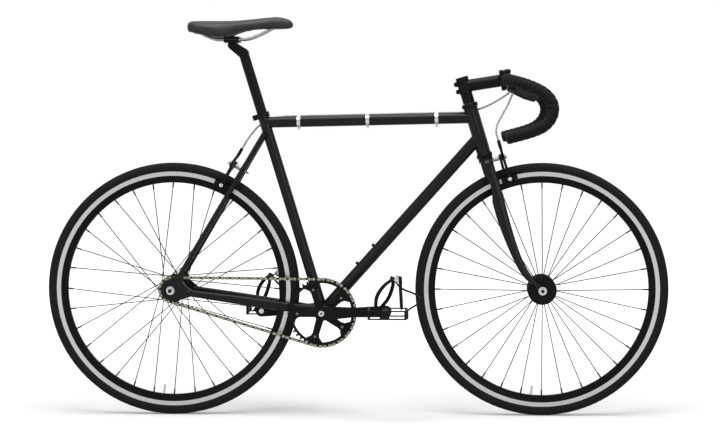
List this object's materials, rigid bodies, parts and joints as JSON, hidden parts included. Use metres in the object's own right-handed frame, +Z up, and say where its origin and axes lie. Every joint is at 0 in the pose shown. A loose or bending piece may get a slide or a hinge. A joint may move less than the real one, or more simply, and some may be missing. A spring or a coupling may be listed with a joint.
{
  "type": "fixed gear bike",
  "caption": "Fixed gear road bike with steel frame, drop handlebar, deep rims, rim brakes, toe clips and a single-speed chain drive.",
  "frame": {"origin": "on the ground, midway between the two axles", "axes": "+X forward, +Y to the rider's left, +Z up"},
  "size_m": [1.6519, 0.43, 1.0571],
  "materials": {
    "frame_black": "satin black paint",
    "fitting_black": "black anodised",
    "steel": "plain steel",
    "dark_steel": "dark plated",
    "tyre": "matt rubber",
    "tube_rubber": "soft rubber",
    "tape": "wrapped cork tape",
    "saddle_cover": "smooth cover",
    "cable_grey": "plastic housing",
    "pedal_plastic": "moulded",
    "strap": "woven strap"
  },
  "bodies": {
    "frame": {"head_tube": "frame_black", "top_tube": "frame_black", "down_tube": "frame_black", "seat_tube": "frame_black", "bottom_bracket_shell": "frame_black", "chainstays": "frame_black", "seatstays": "frame_black", "track_ends": "fitting_black", "bearing_cups": "fitting_black", "seat_collar": "fitting_black", "cable_clips": "steel", "rear_brake_cable": "cable_grey", "chain": "dark_steel", "rear_brake_bolt": "steel", "rear_axle": "steel"},
    "steering": {"fork_steerer": "steel", "fork_crown": "frame_black", "fork_blades": "frame_black", "headset_spacers": "fitting_black", "stem": "fitting_black", "stem_faceplate": "fitting_black", "handlebar": "fitting_black", "bar_tape": "tape", "lever_clamps": "fitting_black", "front_brake_cable": "cable_grey", "rear_cable_loop": "cable_grey", "front_brake_bolt": "steel", "front_axle": "steel"},
    "right_lever": {"right_lever_blade": "fitting_black"},
    "left_lever": {"left_lever_blade": "fitting_black"},
    "front_right_arm": {"front_right_caliper_arm": "fitting_black"},
    "front_left_arm": {"front_left_caliper_arm": "fitting_black"},
    "rear_right_arm": {"rear_right_caliper_arm": "fitting_black"},
    "rear_left_arm": {"rear_left_caliper_arm": "fitting_black"},
    "front_wheel": {"front_tyre": "tyre", "front_inner_tube": "tube_rubber", "front_rim": "fitting_black", "front_spokes": "dark_steel", "front_hub": "fitting_black"},
    "rear_wheel": {"rear_tyre": "tyre", "rear_inner_tube": "tube_rubber", "rear_rim": "fitting_black", "rear_spokes": "dark_steel", "rear_hub": "fitting_black", "rear_cog": "steel"},
    "crank": {"crank_spindle": "steel", "crank_arms": "fitting_black", "chainring": "fitting_black", "crank_bolts": "steel", "pedal_spindles": "steel"},
    "right_pedal_body": {"right_pedal": "pedal_plastic", "right_toe_clip": "pedal_plastic", "right_toe_strap": "strap"},
    "left_pedal_body": {"left_pedal": "pedal_plastic", "left_toe_clip": "pedal_plastic", "left_toe_strap": "strap"},
    "seat": {"seatpost": "fitting_black", "saddle_clamp": "steel", "saddle": "saddle_cover", "saddle_rails": "steel"}
  },
  "joints": [
    {"name": "steering_turn", "type": "hinge", "parent": "frame", "child": "steering", "pos_m": [0.319, 0, 0.75469], "axis": [-0.284, 0, 0.9588], "range_deg": [-60, 60], "deforming": ["rear_cable_loop"]},
    {"name": "front_wheel_spin", "type": "hinge", "parent": "steering", "child": "front_wheel", "pos_m": [0.48996, 0, 0.336], "axis": [0, 1, 0], "continuous": true},
    {"name": "crank_spin", "type": "hinge", "parent": "frame", "child": "crank", "pos_m": [-0.09204, 0, 0.276], "axis": [0, 1, 0], "continuous": true, "deforming": ["chain"]},
    {"name": "rear_wheel_spin", "type": "hinge", "parent": "frame", "child": "rear_wheel", "pos_m": [-0.48996, 0, 0.336], "axis": [0, 1, 0], "continuous": true},
    {"name": "right_pedal_spin", "type": "hinge", "parent": "crank", "child": "right_pedal_body", "pos_m": [0.07785, 0, 0.28193], "axis": [0, 1, 0], "continuous": true},
    {"name": "left_pedal_spin", "type": "hinge", "parent": "crank", "child": "left_pedal_body", "pos_m": [-0.26194, 0, 0.27007], "axis": [0, 1, 0], "continuous": true},
    {"name": "right_lever_pull", "type": "hinge", "parent": "steering", "child": "right_lever", "pos_m": [0.40718, -0.06, 0.86754], "axis": [-0.664, -0.344, -0.664], "range_deg": [0, 9], "stiffness_Nm_per_rad": 2, "springref_deg": -5.73},
    {"name": "left_lever_pull", "type": "hinge", "parent": "steering", "child": "left_lever", "pos_m": [0.40718, 0.06, 0.86754], "axis": [0.664, -0.344, 0.664], "range_deg": [0, 9], "stiffness_Nm_per_rad": 2, "springref_deg": -5.73},
    {"name": "front_right_arm_close", "type": "hinge", "parent": "steering", "child": "front_right_arm", "pos_m": [0.34286, 0, 0.67415], "axis": [0.9588, 0, 0.284], "range_deg": [0, 2]},
    {"name": "front_left_arm_close", "type": "hinge", "parent": "steering", "child": "front_left_arm", "pos_m": [0.34286, 0, 0.67415], "axis": [-0.9588, 0, -0.284], "range_deg": [0, 2]},
    {"name": "rear_left_arm_close", "type": "hinge", "parent": "frame", "child": "rear_left_arm", "pos_m": [-0.30371, 0, 0.65107], "axis": [-0.8608, 0, 0.5089], "range_deg": [0, 2]},
    {"name": "rear_right_arm_close", "type": "hinge", "parent": "frame", "child": "rear_right_arm", "pos_m": [-0.30371, 0, 0.65107], "axis": [0.8608, 0, -0.5089], "range_deg": [0, 2]},
    {"name": "seatpost_slide", "type": "slide", "parent": "frame", "child": "seat", "axis": [-0.2924, 0, 0.9563], "range_m": [-0.08, 0.03]}
  ],
  "couplings": [
    {"joint": "rear_wheel_spin", "follows": "crank_spin", "ratio": 2.75},
    {"joint": "front_right_arm_close", "follows": "right_lever_pull", "ratio": 0.22222},
    {"joint": "front_left_arm_close", "follows": "right_lever_pull", "ratio": 0.22222},
    {"joint": "rear_left_arm_close", "follows": "left_lever_pull", "ratio": 0.22222},
    {"joint": "rear_right_arm_close", "follows": "left_lever_pull", "ratio": 0.22222}
  ]
}
